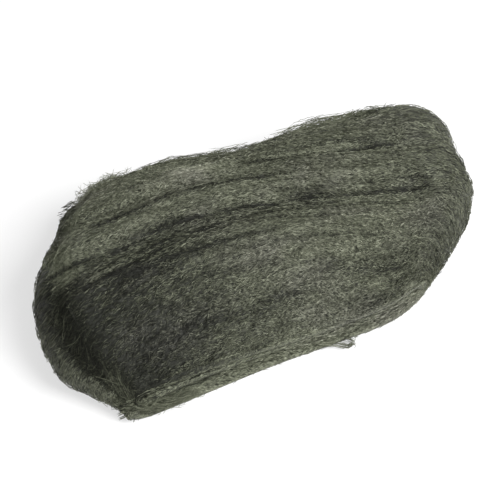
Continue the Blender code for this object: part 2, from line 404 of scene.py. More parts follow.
# Sum of the layers' noise, each shifted across by its drift
def strandHeight(along, y, layer):
    drawn = y - combShift(along, y)
    total = np.zeros(np.broadcast(along, y).shape)
    inside = np.where(np.asarray(layer) < 0, strands["inside"], 0.0)
    driftLength, driftWidth, driftSize = strands["drift"]
    start, driftAlong, driftAcross = strands["starts"]
    seed, driftSeed = strands["seeds"]
    for index, (length, width, height) in enumerate(strands["layers"]):
        driftPlace = drawn / driftWidth + driftAcross + inside
        drift = driftSize * lattice(along / driftLength + driftAlong, driftPlace, driftSeed + index)
        place = drawn / width + drift + strands["apart"] * index + start
        total = total + height * lattice(along / length + inside, place, seed + index)
    return total


# Painted shade, where little light gets between the fibres and where the pad turns away from the light: how
# dark, and over which distances it fades in and out; the thin patch is painted light
shelter = {
    "lines": (                # place across, from x, to x, darkness, half-width
        (-0.0064, -0.060, 0.062, 1.15, 0.0007),
        (-0.0086, -0.052, 0.020, 0.55, 0.0006),
        (-0.0106, -0.050, 0.036, 0.90, 0.0007),
        (-0.0134, -0.056, 0.014, 0.50, 0.0007),
        (-0.0168, -0.052, -0.004, 0.45, 0.0007),
        (-0.0046, -0.038, -0.027, 0.50, 0.0006),
        (-0.0040, 0.010, 0.048, 0.45, 0.0006),
        (0.0014, -0.048, 0.004, 0.85, 0.0008),
        (0.0058, -0.044, 0.000, 0.35, 0.0007),
        (0.0106, 0.006, 0.040, 0.90, 0.0008),
        (0.0078, 0.008, 0.026, 0.50, 0.0006),
        (0.0132, 0.016, 0.036, 0.45, 0.0007),
        (-0.0310, -0.036, 0.004, 0.40, 0.0008),
        (-0.0276, 0.018, 0.040, 0.60, 0.0008),
        (-0.0210, 0.000, 0.026, 0.35, 0.0007),
        (-0.0240, -0.030, -0.006, 0.30, 0.0007),
    ),
    "lineEnds": 0.012,
    "lineWander": (0.0009, 0.016),             # how far a line wanders, and over what length
    "lineBreaks": (0.75, 0.45, 0.006, 0.0016),     # its mean strength, and swing, length and width of breaks
    "lineSeeds": (70, 40),
    "lineStarts": (5, 3),
    "spot": (0.0112, 0.0395, 0.0016, 0.0040, 0.6),     # the dark hollow where the back crease ends
    "slope": (-0.0130, 0.0065, -0.040, 0.004, 0.34),   # the steep face in front of the main crease
    "front": (0.78, -0.062, 0.002),                # the front dome towards the torn end
    "frontAcross": (0.008, 0.022),
    "hollow": (0.60, -0.0615, -0.0580),            # the shadow that the torn edge hangs over
    "hollowAcross": ((0.009, 0.015), (0.026, 0.032)),
    "skirt": (0.14, 0.020, 0.029),                 # the steepest part of the front face
    "skirtAlong": (-0.040, -0.010),
    "torn": (0.20, -0.062, -0.034),                # the top towards the torn end
    "tornAcross": ((-0.012, 0.000), (0.004, 0.016)),
    "fold": (0.28, 0.026, 0.058),                  # the right end
    "foldEnd": 0.012,
    "curl": (0.10, 0.42),                          # the end curl, and more where the torn end hangs over it
    "curlTurned": (0.40, 0.72),
    "curlAcross": (-0.010, 0.018),
    "thin": (-0.021, 0.0125, 0.0085, 0.0030, 1.00),    # where the wool is so thin that light comes through
}


# Sum of the painted shade on the outside of the strip, 1 at most, and below 0 as painted light where light
# comes through
def paintedShadeAt(along, y, layer):
    x = topX(along)
    dark = np.zeros(np.broadcast(along, y).shape)
    far, wanderLength = shelter["lineWander"]
    mean, swing, breakLength, breakWidth = shelter["lineBreaks"]
    wanderSeed, breakSeed = shelter["lineSeeds"]
    wanderStart, breakStart = shelter["lineStarts"]
    for index, (place, start, end, depth, width) in enumerate(shelter["lines"]):
        wanderPlace = along / wanderLength + wanderStart * index
        breakPlace = along / breakLength + breakStart * index
        wander = far * lattice(wanderPlace, np.full_like(y, index), wanderSeed + index)
        broken = mean + swing * lattice(breakPlace, y / breakWidth, breakSeed + index)
        length = window(x, start, end, shelter["lineEnds"])
        dark = dark + depth * broken * length * bell((y - place - wander) / width)
    middle, width, start, end, depth = shelter["slope"]
    dark = dark + depth * bell((y - middle) / width) * (1 - fade(x, start, end))
    middle, place, width, length, depth = shelter["spot"]
    dark = dark + depth * bell((y - middle) / width, (x - place) / length)
    depth, start, end = shelter["front"]
    dark = dark + depth * fade(-y, *shelter["frontAcross"]) * (1 - fade(x, start, end))
    depth, start, end = shelter["skirt"]
    dark = dark + depth * fade(-y, start, end) * fade(x, *shelter["skirtAlong"])
    depth, start, end = shelter["hollow"]
    rising, falling = shelter["hollowAcross"]
    dark = dark + depth * (1 - fade(x, start, end)) * fade(-y, *rising) * (1 - fade(-y, *falling))
    depth, start, end = shelter["torn"]
    rising, falling = shelter["tornAcross"]
    dark = dark + depth * (1 - fade(x, start, end)) * fade(y, *rising) * (1 - fade(y, *falling))
    place, middle, length, width, light = shelter["thin"]
    dark = dark - light * bell((y - middle) / width, (x - place) / length)
    onTop = (along < startOf["outerTurn"]) & (layer > 0)
    dark = np.where(onTop, dark, 0.0)
    depth, start, end = shelter["fold"]
    folded = 1 - fade(along, endOf["outerTurn"] - shelter["foldEnd"], endOf["outerTurn"])
    dark = dark + depth * fade(x, start, end) * folded * (layer > 0)
    turned = (along - startOf["curl"]) / (math.pi * pitch)
    base, more = shelter["curl"]
    middle, width = shelter["curlAcross"]
    under = fade(turned, *shelter["curlTurned"]) * bell((y - middle) / width)
    curl = (base + more * under) * (along > startOf["curl"])
    return np.clip(dark + curl, -1.0, 1.0)


# Puts vertices, faces of any size and per-corner maps into a mesh without a loop over them
def meshObject(name, vertices, corners, starts, maps, values):
    mesh = bpy.data.meshes.new(name)
    mesh.vertices.add(len(vertices))
    mesh.vertices.foreach_set("co", np.ascontiguousarray(vertices, dtype=np.float32).ravel())
    mesh.loops.add(len(corners))
    mesh.loops.foreach_set("vertex_index", np.ascontiguousarray(corners, dtype=np.int32))
    mesh.polygons.add(len(starts))
    mesh.polygons.foreach_set("loop_start", np.ascontiguousarray(starts, dtype=np.int32))
    for mapName, places in maps.items():
        layer = mesh.uv_layers.new(name=mapName, do_init=False)
        layer.uv.foreach_set("vector", np.ascontiguousarray(places, dtype=np.float32).ravel())
    for valueName, numbers in values.items():
        mesh.attributes.new(valueName, "FLOAT", "POINT")
        mesh.attributes[valueName].data.foreach_set("value", np.ascontiguousarray(numbers, dtype=np.float32))
    mesh.update(calc_edges=True)
    mesh.validate()
    mesh.shade_smooth()
    piece = bpy.data.objects.new(name, mesh)
    bpy.context.scene.collection.objects.link(piece)
    return piece


# Shader maths: one wrapped socket, on which +, - and * add Math nodes
class Wire:
    def __init__(self, graph, socket):
        self.graph = graph
        self.socket = socket

    def math(self, operation, first, second=None):
        inputs = {0: first} if second is None else {0: first, 1: second}
        return self.graph.node("ShaderNodeMath", {"operation": operation}, inputs)

    def __add__(self, other):
        return self.math("ADD", self, other)

    def __radd__(self, other):
        return self.math("ADD", other, self)

    def __sub__(self, other):
        return self.math("SUBTRACT", self, other)

    def __rsub__(self, other):
        return self.math("SUBTRACT", other, self)

    def __mul__(self, other):
        return self.math("MULTIPLY", self, other)

    def __rmul__(self, other):
        return self.math("MULTIPLY", other, self)

    def size(self):
        return self.math("ABSOLUTE", self)

    def wave(self):
        return self.math("SINE", self)

    def between(self, low, high):
        settings = {"clamp": True, "interpolation_type": "SMOOTHSTEP"}
        return self.graph.node("ShaderNodeMapRange", settings, {0: self, 1: low, 2: high})


# One material's node tree, with a single method for every other node
class Graph:
    def __init__(self, name):
        self.material = bpy.data.materials.new(name)
        self.material.use_nodes = True
        self.tree = self.material.node_tree
        self.shader = self.tree.nodes["Principled BSDF"]

    def node(self, kind, settings=None, inputs=None, output=0):
        made = self.tree.nodes.new(kind)
        for name, value in (settings or {}).items():
            if name == "stops":
                self.setStops(made.color_ramp, value)
            else:
                setattr(made, name, value)
        for name, value in (inputs or {}).items():
            self.feed(made.inputs[name], value)
        return Wire(self, made.outputs[output])

    def setStops(self, ramp, stops):
        while len(ramp.elements) < len(stops):
            ramp.elements.new(1.0)
        for element, (place, colour) in zip(ramp.elements, stops):
            element.position = place
            element.color = (*colour, 1.0)

    def feed(self, socket, value):
        if isinstance(value, Wire):
            self.tree.links.new(value.socket, socket)
        else:
            socket.default_value = value

    # noise at a place multiplied by (x, y, z), detailed by so many octaves
    def noise(self, place, scale, detail):
        spot = self.node("ShaderNodeVectorMath", {"operation": "MULTIPLY"}, {0: place, 1: scale})
        return self.node("ShaderNodeTexNoise", {}, {"Vector": spot, "Scale": 1.0, "Detail": detail})

    # one colour where the share is 0, the other where it is 1
    def mix(self, share, first, second):
        settings = {"data_type": "RGBA"}
        return self.node("ShaderNodeMix", settings, {0: share, 6: first, 7: second}, 2)

    def finish(self, **inputs):
        for name, value in inputs.items():
            self.feed(self.shader.inputs[name], value)
        return self.material


# Colours in linear light: the dark between the fibres, dull steel, the glint of a fibre, and two casts
wool = {
    "dark": (0.010, 0.011, 0.007),
    "body": (0.070, 0.074, 0.052),
    "dull": (0.135, 0.143, 0.104),
    "steel": (0.235, 0.245, 0.188),
    "glint": (0.430, 0.440, 0.360),
    "olive": (1.0, 1.01, 0.95, 1.0),
    "violet": (1.03, 0.99, 1.05, 1.0),
    "castScale": (40, 70, 70),
    "castRange": (0.46, 0.78),
}


# The wool's colour from its lightness, with a cast that drifts from olive to a faint violet over the pad
def woolColour(graph, light, stops):
    place = graph.node("ShaderNodeTexCoord", output=3)
    cast = graph.noise(place, wool["castScale"], 3.0).between(*wool["castRange"])
    tint = graph.mix(cast, wool["olive"], wool["violet"])
    ramp = [(lightness, wool[name]) for name, lightness in stops.items()]
    colour = graph.node("ShaderNodeValToRGB", {"stops": ramp}, {0: light})
    return graph.node("ShaderNodeVectorMath", {"operation": "MULTIPLY"}, {0: colour, 1: tint})


# Look of the body: noise scales are along and across the strip, and each part counts by its weight
bodyLook = {
    "hairs": (                # lean, length of the crimp's wave, and noise scale of each set of hairs
        (0.20, 0.0030, (480, 3100, 0)),
        (-0.24, 0.0024, (560, 3700, 0)),
        (0.04, 0.0041, (400, 2500, 0)),
    ),
    "hairShare": 0.333,       # of each set in their mean
    "thinness": 5.5,
    "crimpHeight": 0.00016,
    "wander": 30,             # how far noise shifts the crimp's waves, in radians
    "wanderScale": (130, 260, 0),
    "broadScale": (60, 620, 0),
    "fineWeight": 1.15,
    "broadWeight": 0.50,
    "paintedShadeWeight": 0.70,
    "lightness": 0.08,
    "stops": {"dark": 0.06, "body": 0.36, "dull": 0.56, "steel": 0.92},
    "bump": {"Strength": 0.8, "Distance": 0.00025},
    "roughness": (0.80, 0.30),       # in the dark, and how much less on a hair
    "metallic": 0.30,
}


# Body: crimped streaks at small angles to the strip's own map, so that they follow every fold
def bodyMaterial():
    graph = Graph("woolBody")
    place = graph.node("ShaderNodeUVMap", {"uv_map": "Strip"})
    axes = graph.tree.nodes.new("ShaderNodeSeparateXYZ")
    graph.feed(axes.inputs[0], place)
    along, across = Wire(graph, axes.outputs[0]), Wire(graph, axes.outputs[1])
    wander = graph.noise(place, bodyLook["wanderScale"], 1.0)
    hairs = []
    for lean, wave, scale in bodyLook["hairs"]:
        crimp = (along * (2 * math.pi / wave) + wander * bodyLook["wander"]).wave() * bodyLook["crimpHeight"]
        leaning = across + along * lean + crimp
        spot = graph.node("ShaderNodeCombineXYZ", {}, {0: along, 1: leaning})
        hairs.append(1 - (graph.noise(spot, scale, 1.0) - 0.5).size() * bodyLook["thinness"])
    fine = (hairs[0] + hairs[1] + hairs[2]) * bodyLook["hairShare"]
    broad = graph.noise(place, bodyLook["broadScale"], 3.0)
    # painted shade from the attribute darkens the body's colour in creases, on the curl and under the torn
    # edge
    dark = graph.node("ShaderNodeAttribute", {"attribute_name": "shelter"}, output=2)
    light = (fine - 0.5) * bodyLook["fineWeight"] + broad * bodyLook["broadWeight"]
    light = light + bodyLook["lightness"] - dark * bodyLook["paintedShadeWeight"]
    colour = woolColour(graph, light, bodyLook["stops"])
    bump = graph.node("ShaderNodeBump", {}, {**bodyLook["bump"], "Height": fine})
    rough, less = bodyLook["roughness"]
    roughness = rough - less * fine
    graph.shader.inputs["Metallic"].default_value = bodyLook["metallic"]
    return graph.finish(**{"Base Color": colour, "Roughness": roughness, "Normal": bump})


# Look of the fibres: each part of their lightness counts by its weight
fibreLook = {
    "grainScale": (900, 900, 900),
    "patchScale": (90, 90, 90),
    "shadeWeight": 0.60,
    "grainWeight": 0.34,
    "patchWeight": 0.24,
    "darker": 0.10,
    "stops": {"dark": 0.06, "body": 0.28, "dull": 0.50, "steel": 0.74, "glint": 1.0},
    "roughness": (0.62, 0.20),
    "metallic": 0.55,
}


# Fibres: each has its own shade, with painted shade in it, and noise along it breaks it into lengths painted
# lit and dull
def fibreMaterial():
    graph = Graph("woolFibres")
    place = graph.node("ShaderNodeTexCoord", output=3)
    shade = graph.node("ShaderNodeAttribute", {"attribute_name": "shade"}, output=2)
    grain = graph.noise(place, fibreLook["grainScale"], 2.0)
    patch = graph.noise(place, fibreLook["patchScale"], 3.0)
    light = shade * fibreLook["shadeWeight"] + grain * fibreLook["grainWeight"]
    light = light + patch * fibreLook["patchWeight"] - fibreLook["darker"]
    colour = woolColour(graph, light, fibreLook["stops"])
    rough, less = fibreLook["roughness"]
    roughness = rough - less * shade
    graph.shader.inputs["Metallic"].default_value = fibreLook["metallic"]
    return graph.finish(**{"Base Color": colour, "Roughness": roughness})


# The body's grid, and how its bake map lies in the unit square
body = {
    # rows along each stretch, and faces across it
    "rows": {"torn": 14, "top": 160, "outerTurn": 42, "bottom": 60, "curl": 40, "inner": 26, "innerTurn": 8,
             "hidden": 12},
    "across": 100,
    "inset": 0.00030,         # the body lies this far under the fibres that cover it
    "rim": (0.62, 0.0, -0.62),    # layers of the points that round its side edges
    "rimBulge": 0.0005,
    "bake": (0.004, 0.99),    # where the map begins, and its size
    "capScale": (0.02, 0.08),     # the same for the caps at its two ends
    "capStart": (0.0, 0.5),
}


# Parameters of the grid: a flat closed profile, outside, round the rim, inside and back, on every row
def bodyGrid():
    alongs = [0.0]
    for name, rows in body["rows"].items():
        alongs += list(startOf[name] + np.arange(1, rows + 1) / rows * (endOf[name] - startOf[name]))
    across = np.linspace(-1, 1, body["across"] + 1)
    rim = np.array(body["rim"])
    bulge = body["rimBulge"] * np.sqrt(1 - rim ** 2) / halfWidth
    ringAcross = np.concatenate((across, 1 + bulge, across[::-1], -1 - bulge))
    ringLayer = np.concatenate((np.ones_like(across), rim, -np.ones_like(across), -rim))
    along, acrossGrid = np.meshgrid(alongs, ringAcross, indexing="ij")
    return along, acrossGrid, np.broadcast_to(ringLayer, along.shape)


# Points of the grid: on the strip's surface, raised by its strands except on the rim, never below the floor
def bodyPoints(along, across, layer):
    spot, normal = surfaceFrame(along, across, layer)
    thin = np.clip(thicknessAt(along, along, np.clip(across, -1, 1)) / strip["ply"], 0.0, 1.0)
    height = (strandHeight(along, across * halfWidth, layer) - body["inset"]) * thin
    height = height * np.where(np.abs(layer) < 1, 0.0, 1.0)
    spot = spot + normal * height[..., None]
    spot[..., 2] = np.maximum(spot[..., 2], 0.0)
    return spot


# Faces of the grid: quads round every row, quads across both end caps, and a face on each cap's rims
def bodyFaces(rows, ring):
    row, column = np.meshgrid(np.arange(rows - 1), np.arange(ring), indexing="ij")
    after = (column + 1) % ring
    quads = np.stack((row * ring + column, row * ring + after, (row + 1) * ring + after,
                      (row + 1) * ring + column), axis=-1).reshape(-1, 4)
    mapRow = np.stack((row, row, row + 1, row + 1), axis=-1).reshape(-1, 4)
    mapRing = np.stack((column, column + 1, column + 1, column), axis=-1).reshape(-1, 4)
    rim = len(body["rim"])
    inner = body["across"] + 1
    outer = rim + inner
    cap = np.arange(inner - 1)
    opposite = outer + inner - 1 - cap
    firstCap = np.stack((cap, opposite, opposite - 1, cap + 1), axis=-1)
    lastCap = firstCap[:, ::-1] + (rows - 1) * ring
    corners = [quads.ravel(), firstCap.ravel(), lastCap.ravel()]
    sizes = [4] * (len(quads) + 2 * len(firstCap))
    for rimCap in (np.arange(inner - 1, outer + 1), np.append(np.arange(outer + inner - 1, ring), 0)):
        corners += [rimCap[::-1], rimCap + (rows - 1) * ring]
        sizes += [len(rimCap)] * 2
    starts = np.concatenate(([0], np.cumsum(sizes)[:-1]))
    return np.concatenate(corners), starts, mapRow, mapRing


# Bake map: the grid spread over the unit square. Strip map, in metres: distance along the strip, and round
# the profile from its grain line, less the combing, so that it runs with the fibres
def bodyMaps(along, y, spot, corners, mapRow, mapRing):
    rows, ring = along.shape
    closed = np.concatenate((spot, spot[:, :1]), axis=1)
    sides = np.linalg.norm(np.diff(closed, axis=1), axis=-1)
    girth = np.concatenate((np.zeros((rows, 1)), np.cumsum(sides, axis=1)), axis=1)
    grain = np.searchsorted(np.linspace(-1, 1, body["across"] + 1), pile["grainLine"] / halfWidth)
    drawn = girth - girth[:, grain:grain + 1]
    combed = combShift(along, y)
    drawn[:, :ring] -= combed
    drawn[:, ring] -= combed[:, 0]
    flat = np.stack((along[mapRow, 0], drawn[mapRow, mapRing]), axis=-1).reshape(-1, 2)
    begin, size = body["bake"]
    bake = np.stack((begin + size * mapRow / (rows - 1), begin + size * mapRing / ring), axis=-1)
    bake = bake.reshape(-1, 2)
    capFlat = np.stack((along, y), axis=-1).reshape(-1, 2)[corners[len(bake):]]
    capBake = capFlat * body["capScale"] + body["capStart"]
    return {"OFBake": np.concatenate((bake, capBake)), "Strip": np.concatenate((flat, capFlat))}


# The padded body: the grid's points, faces and maps, and its painted shade as an attribute
def makeBody():
    along, across, layer = bodyGrid()
    spot = bodyPoints(along, across, layer)
    corners, starts, mapRow, mapRing = bodyFaces(*along.shape)
    y = across * halfWidth
    maps = bodyMaps(along, y, spot, corners, mapRow, mapRing)
    dark = paintedShadeAt(along, y, layer)
    piece = meshObject("woolBody", spot.reshape(-1, 3), corners, starts, maps, {"shelter": dark.ravel()})
    piece.data.materials.append(bodyMaterial())
    return piece


bodyPiece = makeBody()
print("body: %d faces" % len(bodyPiece.data.polygons))


# Fibres of each piece: how many, points of each, where they lie, and how long they are, in metres
fibreSets = {
    "topWool": {"seed": 3, "count": 10900, "points": 5, "length": (0.0010, 0.0028),
                "stretches": ("torn", "top")},
    "upperWool": {"seed": 4, "count": 10900, "points": 5, "length": (0.0010, 0.0028),
                  "stretches": ("torn", "top")},
    "foldWool": {"seed": 5, "count": 6600, "points": 5, "length": (0.0010, 0.0030),
                 "stretches": ("outerTurn", "curl")},
    "undersideWool": {"seed": 7, "count": 1600, "points": 5, "length": (0.003, 0.007),
                      "stretches": ("bottom",)},
    "sideWool": {"seed": 9, "count": 6200, "points": 5, "length": (0.0015, 0.0040), "side": True},
    "longWool": {"seed": 11, "count": 500, "points": 12, "length": (0.007, 0.014), "scatter": 0.09,
                 "stretches": ("torn", "top", "outerTurn", "bottom", "curl")},
}
fibre = {
    "radius": (0.000065, 0.000105),
    "scatter": 0.30,          # spread of directions about the strip's, in radians
    "crimp": (0.0012, 0.0030),       # shortest and longest wave of the crimp
    "crimpHeight": (0.00005, 0.00016),
    "crimpShares": (0.6, 0.7),       # of a second wave across, and of the one outwards
    "bow": 0.00020,
    "bowMiddle": 0.33,        # mean of the bow's curve, so that it bends about the fibre's line
    "lift": (-0.00012, 0.00020),
    "fuzz": (0.07, 0.00045),  # share of the fibres that stand off further, and by how much
    "fuzzTilt": 0.06,
    "before": -0.0015,        # the furthest that a fibre starts before the torn edge
    "overEdge": 0.0006,       # the furthest that it reaches past a side edge
    "bright": (0.54, 0.27),   # mean and spread of the brightness
    "keepBright": 0.5,        # how much less a bright fibre is darkened
    "floorGap": 0.00002,
    "bake": (0.04, 0.92),     # where its map begins in its cell of the bake map, and its size
}


# Swings of crimped fibres about their line: two waves across, one outwards, and a bow
def crimps(rng, count, points, length):
    t = np.linspace(-0.5, 0.5, points)[None, :]
    reach = length[:, None] * t
    wave = rng.uniform(*fibre["crimp"], (3, count, 1))
    phase = rng.uniform(0, 2 * math.pi, (3, count, 1))
    height = rng.uniform(*fibre["crimpHeight"], (3, count, 1))
    swing = height * np.sin(2 * math.pi * reach / wave + phase)
    bow = rng.normal(0, fibre["bow"], (count, 1)) * (4 * t * t - fibre["bowMiddle"])
    second, outwards = fibre["crimpShares"]
    return reach, swing[0] + second * swing[1] + bow, outwards * swing[2]


# Faces of one fibre, three triangles to its tip, rings of three quads, and three triangles: corners, places
# in its map, and sizes
def tubeFaces(rings):
    template, places, sizes = [], [], []
    last = 1 + 3 * (rings - 1)
    for q in range(3):
        template += [0, 1 + q, 1 + (q + 1) % 3]
        places += [(0.0, q + 0.5), (1, q), (1, q + 1)]
        sizes.append(3)
    for ring in range(rings - 1):
        for q in range(3):
            after = (q + 1) % 3
            base = 1 + 3 * ring
            template += [base + q, base + 3 + q, base + 3 + after, base + after]
            places += [(ring + 1, q), (ring + 2, q), (ring + 2, q + 1), (ring + 1, q + 1)]
            sizes.append(4)
    for q in range(3):
        template += [last + q, last + 3, last + (q + 1) % 3]
        places += [(rings, q), (rings + 1, q + 0.5), (rings, q + 1)]
        sizes.append(3)
    return np.array(template), np.array(places, dtype=float) / (rings + 1, 3), np.array(sizes)


# Three-cornered tubes along the paths, drawn to a point at both ends
def tubes(name, paths, normals, radius, shade, material):
    count, points, _ = paths.shape
    tangent = unit(np.gradient(paths, axis=1))
    side = unit(np.cross(tangent, normals))
    up = np.cross(side, tangent)
    angles = math.pi / 2 + np.arange(3) * 2 * math.pi / 3
    around = side[:, 1:-1, None] * np.cos(angles)[:, None] + up[:, 1:-1, None] * np.sin(angles)[:, None]
    rings = paths[:, 1:-1, None] + around * radius[:, None, None, None]
    vertices = np.concatenate((paths[:, :1], rings.reshape(count, -1, 3), paths[:, -1:]), axis=1)
    lowest = vertices[..., 2].min(axis=1)
    vertices[..., 2] += np.maximum(fibre["floorGap"] - lowest, 0.0)[:, None]
    template, places, sizes = tubeFaces(points - 2)
    corners = (np.arange(count)[:, None] * vertices.shape[1] + template).ravel()
    starts = np.cumsum(np.tile(sizes, count)) - np.tile(sizes, count)
    cells = math.ceil(math.sqrt(count))
    cell = np.stack(np.divmod(np.arange(count), cells), axis=-1)[:, None]
    begin, size = fibre["bake"]
    bake = ((cell + begin + size * places) / cells).reshape(-1, 2)
    shades = np.concatenate((shade[:, :1], np.repeat(shade[:, 1:-1], 3, axis=1), shade[:, -1:]), axis=1)
    values = {"shade": shades.ravel()}
    piece = meshObject(name, vertices.reshape(-1, 3), corners, starts, {"OFBake": bake}, values)
    piece.data.materials.append(material)
    return piece


# The pile's side faces: rounding of their ends, and the painted shade on the front one towards the torn end,
# and on the back one
sideFaces = {
    "inset": 0.0006,
    "curlMiddle": 1.9,        # height of the curl's middle, in pitches
    "lowest": 0.0002,
    "dark": (0.55, -0.050, 0.000),
    "darkUp": (0.008, 0.018),
    "backDark": 0.15,
}


# Centres of fibres spread evenly over the pile's two side faces, inside the rounding of its ends
def sidePlaces(rng, count):
    spots = np.zeros((0, 3))
    rightRadius = pileHeight / 2 - sideFaces["inset"]
    while len(spots) < count:
        x = rng.uniform(-halfLength, halfLength, count)
        z = rng.uniform(0, pileHeight, count)
        rightOut = np.hypot(np.maximum(x - rightTurn, 0), z - pileHeight / 2) < rightRadius
        leftOut = np.hypot(np.maximum(leftTurn - x, 0), z - sideFaces["curlMiddle"] * pitch) < 2 * pitch
        inside = (rightOut | (x < rightTurn)) & (leftOut | (x > leftTurn))
        spots = np.concatenate((spots, np.stack((x, z, rng.choice((-1.0, 1.0), count)), axis=-1)[inside]))
    return spots[:count].T


# Lightness that changes from strand to strand, in fine gaps and broader bands: length, width, seed, strength
strandShades = ((0.010, 0.00075, 33, 0.26), (0.030, 0.0030, 34, 0.16))


def strandShade(along, y):
    return sum(strength * lattice(along / length, y / width, seed)
               for length, width, seed, strength in strandShades)


# Places across the strip for shares from 0 to 1, as dense on the steep sides as on top
def spreadAcross(share):
    across = np.linspace(-1, 1, sampling["spread"])
    grown = np.cumsum(stretchAt(np.full(across.shape, endOf["top"] / 2), across))
    return np.interp(share, grown / grown[-1], across) * halfWidth


# Points, normals, extra height, strand shade and painted shade of fibres on the pile's two side faces
def layOnSides(rng, settings, reach, swing, angle):
    x, z, side = sidePlaces(rng, settings["count"])
    xs = x[:, None] + reach * np.cos(angle)[:, None]
    zs = z[:, None] + reach * np.sin(angle)[:, None] + swing
    zs = np.clip(zs, sideFaces["lowest"], pileHeight)
    sides = np.broadcast_to(side[:, None], xs.shape)
    spot, normal = sideFrame(xs, zs, sides)
    depth, start, end = sideFaces["dark"]
    frontDark = depth * (1 - fade(xs, start, end)) * fade(zs, *sideFaces["darkUp"])
    return spot, normal, 0.0, strandShade(xs, zs), np.where(sides < 0, frontDark, sideFaces["backDark"])


# The same for fibres on the strip's outer face, which keep to the combing
def layOnStrip(rng, settings, reach, swing, angle):
    count = settings["count"]
    lengths = np.array([endOf[part] - startOf[part] for part in settings["stretches"]])
    chosen = rng.choice(len(lengths), count, p=lengths / lengths.sum())
    starts = np.array([startOf[part] for part in settings["stretches"]])
    along = starts[chosen] + rng.uniform(0, 1, count) * lengths[chosen]
    y = spreadAcross(rng.uniform(0, 1, count))
    stretch = stretchAt(along, y / halfWidth)[:, None]
    heading = angle + np.arctan(combSlope(along, y))
    alongs = np.maximum(along[:, None] + reach * np.cos(heading)[:, None], fibre["before"])
    ys = y[:, None] + (reach * np.sin(heading)[:, None] + swing) / stretch
    edge = halfWidth + fibre["overEdge"]
    ys = np.clip(ys, -edge, edge)
    spot, normal = surfaceFrame(alongs, ys / halfWidth, np.ones_like(alongs))
    strand = strandShade(alongs, ys - combShift(alongs, ys))
    return spot, normal, strandHeight(alongs, ys, 1.0), strand, paintedShadeAt(alongs, ys, 1.0)


# Fibres scattered over the strip's outer face, or over the pile's two side faces
def layFibres(name, settings, material):
    rng = np.random.default_rng(settings["seed"])
    count = settings["count"]
    length = rng.uniform(*settings["length"], count)
    lift = rng.uniform(*fibre["lift"], count)
    share, more = fibre["fuzz"]
    fuzzy = rng.uniform(0, 1, count) < share
    lift = lift + fuzzy * rng.uniform(0, more, count)
    angle = rng.normal(0, settings.get("scatter", fibre["scatter"]), count) * (1 + fuzzy)
    tilt = fuzzy * rng.normal(0, fibre["fuzzTilt"], count)
    reach, swing, rise = crimps(rng, count, settings["points"], length)
    lay = layOnSides if settings.get("side") else layOnStrip
    spot, normal, height, strand, dark = lay(rng, settings, reach, swing, angle)
    rise = rise + height + lift[:, None] + tilt[:, None] * np.abs(reach)
    paths = spot + normal * rise[..., None]
    radius = rng.uniform(*fibre["radius"], count)
    bright = np.clip(rng.normal(*fibre["bright"], (count, 1)) + strand, 0, 1)
    # painted shade darkens each fibre, a bright one less
    shade = bright - dark * (1.0 - fibre["keepBright"] * bright)
    return tubes(name, paths, normal, radius, shade, material)


# The torn end frays: fibres lead off its edge and sink, at the front corner right onto the curl beneath it
fray = {
    "seed": 15,
    "count": 2500,
    "points": 7,
    "crowding": 0.72,         # power that crowds the fibres towards the front corner
    "overEdge": 1.01,         # furthest place across the strip
    "start": (-0.10, 0.22),   # turn round the curl from the torn edge back to a fibre's start, in radians
    "turn": (0.14, 0.32),     # turn that it covers
    "reach": 0.22,            # and how much more at the front corner
    "backShort": 0.5,         # and what share less at the back corner
    "sink": (0.25, 1.00),     # share of the step down to the curl that it sinks: hanging free, and in front
    "backSink": 0.55,
    "sinkSpread": (0.5, 1.0),
    "evenFront": 0.8,         # how much more evenly those at the front sink
    "sinkTurn": (-0.12, 0.30),    # turn over which it sinks
    "front": (-0.62, -0.18),  # places across where the front corner's share fades out
    "back": (-0.05, 0.35),    # from here to the back corner the fibres are short and sink further
    "scatter": 0.0014,
    "crimpLength": 0.006,
    "lift": (0.0, 0.0005),
    # the next two give the painted shade of the frayed fibres: taken from the torn edge, and on the curl
    # where they sink
    "edgePlace": 0.001,       # where along the strip the darkness of the torn edge is taken from
    "sunkDark": (0.25, 0.25, 0.8),    # darkness on the curl, more at the front, and share of the edge's
    "bright": (0.50, 0.22),
    "darkWeight": 0.75,
}


